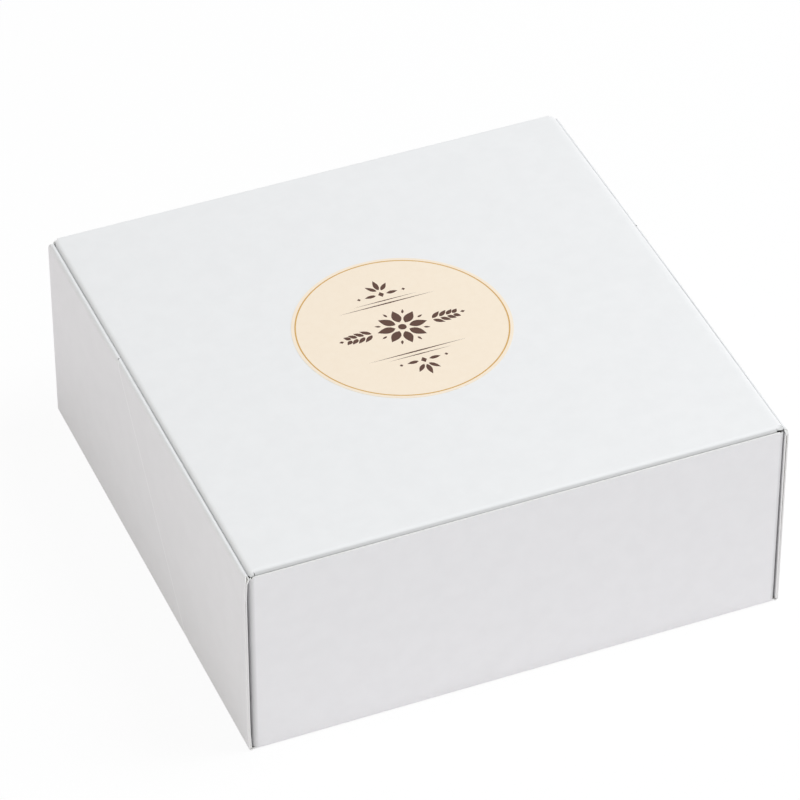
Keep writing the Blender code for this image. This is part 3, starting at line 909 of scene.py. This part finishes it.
def rounded_outline(corners):
    """Closed outline through corners given as (x, y, fillet radius)."""
    outline = []
    for index, (x, y, radius) in enumerate(corners):
        corner = Vector((x, y))
        if not radius:
            outline.append((x, y))
            continue
        before = (Vector(corners[index - 1][:2]) - corner).normalized()
        after = (Vector(corners[(index + 1) % len(corners)][:2]) - corner).normalized()
        half = before.angle(after) / 2
        centre = corner + (before + after).normalized() * radius / math.sin(half)
        reach = radius / math.tan(half)
        first = corner + before * reach - centre
        last = corner + after * reach - centre
        start = math.degrees(math.atan2(first.y, first.x))
        sweep = (math.degrees(math.atan2(last.y, last.x)) - start + 180) % 360 - 180
        outline.extend(arc(centre, radius, start, start + sweep, ROUND_STEPS))
    return outline


def frame_at(origin, across, along):
    """Matrix of a local frame: X is across, Y is along and Z is square to both."""
    x_axis = Vector(across).normalized()
    y_axis = Vector(along).normalized()
    z_axis = x_axis.cross(y_axis)
    turn = Matrix((x_axis, y_axis, z_axis)).transposed().to_4x4()
    return Matrix.Translation(Vector(origin)) @ turn


def flap_edges(corners, lengths):
    """Left and right edge of a flap at each length, with its far corners rounded."""
    outline = rounded_outline(corners)
    edges = []
    for length in lengths:
        crossings = []
        for (x0, y0), (x1, y1) in zip(outline, outline[1:] + outline[:1]):
            if (y0 + length) * (y1 + length) <= 0 and abs(y1 - y0) > 1e-9:
                crossings.append(x0 + (x1 - x0) * (-length - y0) / (y1 - y0))
        edges.append((min(crossings), max(crossings)))
    return edges


def down_flap(start, length):
    """Point at this length down a leaning flap, both points as (place, height)."""
    return start[0] - length * math.sin(FLAP_LEAN), start[1] - length * math.cos(FLAP_LEAN)


def flap_crease_rows(flat, reach):
    """Profile of the crease between a rolled edge and its flap, as (place, height)."""
    points = []
    for angle in spread(LID_ROLL_END, ROLL_ANGLE, STRIP_STEPS):
        place, drop = rolled(angle, flat, reach)
        points.append((place, LID_MIDDLE - drop))
    roll_end = points[-1]
    return points + [down_flap(roll_end, length) for length in CREASE_LENGTHS]


def build_flap(names, turned, roll, ends, taper, rounding, slot):
    """Flap of the lid, as a flat board with rounded corners, and the crease between it and its roll.

    Turned gives a point from its place along the crease, its place outward and its height. The
    flap's low end draws in by its depth, and its high end by this taper of that. Returned are the
    crease and the two ends of its bend.
    """
    name, node, body, crease_name = names
    low, high = ends
    rows = flap_crease_rows(*roll)
    hinge = down_flap(rows[STRIP_STEPS], HINGE_STEP)
    corners = [
        (low, HALF_BOARD, 0.0),
        (low + FLAP_DEPTH, -FLAP_DEPTH, rounding),
        (high - FLAP_DEPTH * taper, -FLAP_DEPTH, rounding),
        (high, HALF_BOARD, 0.0),
    ]
    foot_start = FLAP_DEPTH - FLAP_FOOT_BAND
    lengths = spread(FLAP_START, foot_start, FLAP_LENGTH_STEPS)
    lengths += [foot_start + FLAP_FOOT_BAND * share for share in FLAP_FOOT_SHARES]
    facing = turned(0.0, 1.0, 0.0)
    up = turned(0.0, math.sin(FLAP_LEAN), math.cos(FLAP_LEAN))
    place = frame_at(turned(0.0, *hinge), turned(1.0, 0.0, 0.0), up)
    shape = bmesh.new()
    grid = []
    for (left, right), length in zip(flap_edges(corners, lengths), lengths):
        grid.append([place @ Vector((x, -length, 0.0)) for x in spread(left, right, FLAP_STEPS)])
    add_grid(shape, grid)
    piece = board_piece(name, shape, facing)
    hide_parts(node)
    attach(piece, body)

    shape = bmesh.new()
    grid = []
    for out, height in rows:
        below = max(0.0, hinge[1] - height + HALF_BOARD)
        places = spread(low + below, high - below * taper, FLAP_STEPS)
        grid.append([turned(along, out, height) for along in places])
    # The crease gets the given slot, which carries painted shade at the front and left.
    add_grid(shape, grid, zone=lambda i, j: slot)
    crease = board_piece(crease_name, shape, facing)
    return crease, turned(0.0, *rows[STRIP_STEPS]), turned(0.0, *rows[BLEND_END_ROW])


def build_tuck_flap():
    """Front tuck flap and its crease."""
    names = ("tuck_flap_board", "front_tuck_flap", "tuck_flap", "tuck_crease")
    half = FLAT_X - HALF_BOARD
    # The tuck crease gets painted shade.
    crease, start, end = build_flap(
        names, lambda along, out, height: (along, -out, height), (FLAT_Y, ROLL_REACH_Y),
        (-half, half), 1.0, TUCK_ROUND, FRONT_ROLL_SHADE)
    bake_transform(crease)
    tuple(start)
    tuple(end)


def build_side_flap(side):
    """Side flap of the lid and its crease."""
    name = SIDE_NAMES[side]
    names = (name + "_flap_board", f"lid_{name}_flap", name + "_flap", name + "_flap_crease")
    # The left flap's crease gets painted shade; the right one stays plain.
    crease, start, end = build_flap(
        names, lambda along, out, height: (side * out, along, height), (FLAT_X, ROLL_REACH_X[side]),
        (-FLAT_Y + HALF_BOARD, HALF_Y - ROLL_BACK_FOOT), math.tan(BACK_TAPER), SIDE_FLAP_ROUND,
        LEFT_ROLL_SHADE if side == LEFT else COATED)
    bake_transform(crease)
    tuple(start)
    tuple(end)


def build_back_crease():
    """Crease that joins the lid to the back wall."""
    centre = (HINGE_Y - BACK_CREASE_RADIUS, LID_MIDDLE - BACK_CREASE_RADIUS)
    profile = [(HINGE_Y, BACK_CREASE_FOOT), (HINGE_Y, (BACK_CREASE_FOOT + centre[1]) / 2)]
    profile += arc(centre, BACK_CREASE_RADIUS, 0.0, 90.0, BACK_CREASE_STEPS)
    profile.append((LID_BACK, LID_MIDDLE))
    half = HALF_X - CREASE_INSET_X
    shape = bmesh.new()
    grid = []
    for y, z in profile:
        fading = max(0.0, 1 - (z - BACK_CREASE_FOOT) / (LID_MIDDLE - BACK_CREASE_FOOT))
        bow = WALL_BOW * smooth(z / WALL_TOP) * fading
        grid.append([(x, y - bow * bowed(x, half), z) for x in spread(-half, half, PANEL_STEPS)])
    add_grid(shape, grid)
    crease = board_piece("lid_crease", shape, (0.0, 1.0, 0.0))
    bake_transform(crease)


# Label

def circle(radius, steps):
    """Closed ring of points."""
    angles = [2 * math.pi * step / steps for step in range(steps)]
    return [(radius * math.cos(angle), radius * math.sin(angle)) for angle in angles]


def leaf(length, width, x, y, degrees):
    """Pointed leaf that starts at (x, y) and points the given way."""
    upper = []
    lower = []
    for step in range(LEAF_STEPS):
        share = step / LEAF_STEPS
        upper.append((length * step / LEAF_STEPS, width * math.sin(math.pi * share ** LEAF_FULLNESS)))
        lower.append((length * (1 - share), -width * math.sin(math.pi * (1 - share) ** LEAF_FULLNESS)))
    turn = math.radians(degrees)
    return [(x + px * math.cos(turn) - py * math.sin(turn),
             y + px * math.sin(turn) + py * math.cos(turn)) for px, py in upper + lower]


def diamond(x, y, wide, tall):
    """Small upright diamond."""
    return [(x - wide, y), (x, y - tall), (x + wide, y), (x, y + tall)]


def rule(half, y, thick):
    """Thin level rule that tapers to both ends."""
    return [(-half, y), (0.0, y - thick / 2), (half, y), (0.0, y + thick / 2)]


def rosette_shapes():
    """Petals with small sepals between them, round an eye."""
    shapes = []
    for petal in range(PETALS):
        for offset, start, length, width in ROSETTE_LEAVES:
            angle = 360.0 / PETALS * (petal + offset)
            turn = math.radians(angle)
            shapes.append(leaf(length, width, start * math.cos(turn), start * math.sin(turn), angle))
    shapes.append(circle(EYE_RADIUS, EYE_STEPS))
    return shapes


def spray_shapes(side):
    """Leaf spray beside the rosette, with a diamond at its tip."""
    shapes = []
    for distance, length in SPRAY_LEAVES:
        for lean in (-1, 1):
            angle = SPRAY_LEAN * lean if side > 0 else 180.0 - SPRAY_LEAN * lean
            start = (side * distance, lean * SPRAY_LEAF_OFFSET)
            shapes.append(leaf(length, SPRAY_LEAF_WIDTH, *start, angle))
    distance, wide, tall = SPRAY_TIP
    shapes.append(diamond(side * distance, 0.0, wide, tall))
    return shapes


def fan_shapes(side):
    """Rules and a small fan, above the rosette or below it."""
    shapes = [rule(half, side * height, thick) for half, height, thick in RULES]
    for wing in (-1, 1):
        x, length, width = FAN_LEAF
        flat = 0.0 if wing > 0 else 180.0
        shapes.append(leaf(length, width, wing * x, side * FAN_BASE, flat))
        x, size = FAN_DOT
        shapes.append(diamond(wing * x, side * FAN_BASE, size, size))
        x, y, length, width = FAN_WING
        lean = 90.0 * side - FAN_WING_LEAN * wing * side
        shapes.append(leaf(length, width, wing * x, side * y, lean))
    shapes.append(diamond(0.0, side * FAN_BASE, *FAN_EYE))
    y, length, width = FAN_TOP
    shapes.append(leaf(length, width, 0.0, side * y, 90.0 * side))
    return shapes


def ornament_shapes():
    """Generic ornament of the label."""
    shapes = rosette_shapes()
    for side in (-1, 1):
        shapes += spray_shapes(side)
    for side in (-1, 1):
        shapes += fan_shapes(side)
    return shapes


def printed_area(name, loops, material):
    """Thin flat area between closed loops, lying on the lid."""
    curve = bpy.data.curves.new(name, "CURVE")
    curve.dimensions = "2D"
    curve.fill_mode = "BOTH"
    curve.extrude = LABEL_THICKNESS / 2
    for loop in loops:
        spline = curve.splines.new("POLY")
        spline.points.add(len(loop) - 1)
        for point, (x, y) in zip(spline.points, loop):
            point.co = (x, y, 0.0, 1.0)
        spline.use_cyclic_u = True
    guide = add_object(name + "_outline", curve)
    mesh = evaluated_mesh(guide)
    bpy.data.objects.remove(guide, do_unlink=True)
    mesh.transform(Matrix.Translation((LABEL_X, LABEL_Y, LABEL_BASE + LABEL_THICKNESS / 2)))
    shape = bmesh.new()
    shape.from_mesh(mesh)
    bmesh.ops.remove_doubles(shape, verts=shape.verts, dist=LABEL_MERGE_DISTANCE)
    bmesh.ops.recalc_face_normals(shape, faces=shape.faces)
    shape.to_mesh(mesh)
    shape.free()
    mesh.materials.append(material)
    return add_object(name, mesh)


def build_label():
    """Cream label with a ring and an ornament printed on it."""
    ring_edges = (RING_RADIUS + RING_WIDTH / 2, RING_RADIUS - RING_WIDTH / 2)
    ring_loops = [circle(radius, LABEL_STEPS) for radius in ring_edges]
    ornament = ornament_shapes()
    rim = circle(LABEL_RADIUS, LABEL_STEPS)
    paper = printed_area("label_paper", [rim] + ring_loops + ornament, cream)
    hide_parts("lid_label")
    ring = printed_area("label_ring", ring_loops, ring_ink)
    motif = printed_area("label_ornament", ornament, brown_ink)
    for piece in (paper, ring, motif):
        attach(piece, "lid")


build_floor()
for end in (FRONT, BACK):
    build_end_board(end)
for side in (LEFT, RIGHT):
    build_side_board(side)
build_lid()
build_back_crease()
build_tuck_flap()
for side in (LEFT, RIGHT):
    build_side_flap(side)
build_label()


# Floor, light and camera

WHITE = (1.0, 1.0, 1.0)
FLOOR_HALF = 30.0
FLOOR_HEIGHT = -0.2 * MM
# Share of plain white in the floor that the camera sees, and the colour that its light takes on
FLOOR_GLOW = 0.92
FLOOR_BOUNCE = (0.87, 0.82, 0.85)
SKY_STRENGTH = 0.45

# Soft lamps: direction from the box, distance, width, power and colour
LAMPS = {
    "key": ((0.42, -0.10, 0.90), 3.2, 1.6, 46.7, (0.95, 0.969, 1.0)),
    "right": ((0.85, -0.20, 0.50), 3.0, 1.4, 15.4, (0.97, 1.0, 0.93)),
    "left": ((-0.95, -0.28, 0.10), 2.0, 1.4, 11.4, (0.975, 1.0, 0.912)),
    "front": ((0.10, -0.99, 0.10), 2.0, 1.4, 6.0, (0.908, 1.0, 0.992)),
}

CAMERA_PLACE = (-656.93 * MM, -1581.83 * MM, 1489.74 * MM)
CAMERA_TURN = (50.203274, 0.094078, -22.48272)
CAMERA_LENS = 217.5694
CAMERA_SENSOR = 36.0
CAMERA_SIGHT = 100.0


def coloured(tree, kind, colour, strength=1.0):
    """Output of a shader node of one colour."""
    node = tree.nodes.new(kind)
    node.inputs["Color"].default_value = (*colour, 1.0)
    if "Strength" in node.inputs:
        node.inputs["Strength"].default_value = strength
    return node.outputs[0]


def mixed(tree, first, second):
    """Mix shader of two outputs: the socket of its share, and its output."""
    node = tree.nodes.new("ShaderNodeMixShader")
    tree.links.new(first, node.inputs[1])
    tree.links.new(second, node.inputs[2])
    return node.inputs["Fac"], node.outputs[0]


def build_stage():
    """White floor that keeps the box's shadow."""
    material = bpy.data.materials.new("studio_floor")
    material.use_nodes = True
    tree = material.node_tree
    tree.nodes.clear()
    output = tree.nodes.new("ShaderNodeOutputMaterial")
    rays = tree.nodes.new("ShaderNodeLightPath")
    paper = coloured(tree, "ShaderNodeBsdfDiffuse", WHITE)
    glow = coloured(tree, "ShaderNodeEmission", WHITE)
    bounce = coloured(tree, "ShaderNodeBsdfDiffuse", FLOOR_BOUNCE)
    glow_share, seen = mixed(tree, paper, glow)
    glow_share.default_value = FLOOR_GLOW
    camera_share, surface = mixed(tree, bounce, seen)
    tree.links.new(rays.outputs["Is Camera Ray"], camera_share)
    tree.links.new(surface, output.inputs["Surface"])

    shape = bmesh.new()
    bmesh.ops.create_grid(shape, x_segments=1, y_segments=1, size=FLOOR_HALF)
    mesh = mesh_of("studio_floor", shape)
    mesh.materials.append(material)
    floor = add_object("studio_floor", mesh)
    floor.location = (0.0, 0.0, FLOOR_HEIGHT)


def build_world():
    """Even pale sky for light, white where the camera sees it, also in gloss and through glass."""
    world = bpy.data.worlds.new("studio")
    bpy.context.scene.world = world
    world.use_nodes = True
    tree = world.node_tree
    tree.nodes.clear()
    output = tree.nodes.new("ShaderNodeOutputWorld")
    rays = tree.nodes.new("ShaderNodeLightPath")
    light = coloured(tree, "ShaderNodeBackground", WHITE, SKY_STRENGTH)
    white = coloured(tree, "ShaderNodeBackground", WHITE)
    white_share, sky = mixed(tree, light, white)
    seen = rays.outputs["Is Camera Ray"]
    for kind in ("Is Glossy Ray", "Is Transmission Ray"):
        either = tree.nodes.new("ShaderNodeMath")
        either.operation = "MAXIMUM"
        tree.links.new(seen, either.inputs[0])
        tree.links.new(rays.outputs[kind], either.inputs[1])
        seen = either.outputs[0]
    tree.links.new(seen, white_share)
    tree.links.new(sky, output.inputs["Surface"])


def build_lamp(name, direction, distance, size, watts, colour):
    """Soft round lamp that points at the box."""
    light = bpy.data.lights.new(name, "AREA")
    light.shape = "DISK"
    light.size = size
    light.energy = watts
    light.color = colour
    lamp = add_object(name, light)
    way = Vector(direction).normalized()
    lamp.location = way * distance
    lamp.rotation_euler = way.to_track_quat("Z", "Y").to_euler()


def build_camera():
    """Long lens at the photo's angle."""
    lens = bpy.data.cameras.new("camera")
    lens.lens = CAMERA_LENS
    lens.sensor_width = CAMERA_SENSOR
    lens.clip_end = CAMERA_SIGHT
    camera = add_object("camera", lens)
    camera.location = CAMERA_PLACE
    camera.rotation_euler = Euler([math.radians(angle) for angle in CAMERA_TURN], "XYZ")
    bpy.context.scene.camera = camera


build_stage()
build_world()
for name, lamp in LAMPS.items():
    build_lamp(name, *lamp)
build_camera()
bpy.context.scene.view_settings.view_transform = "Standard"
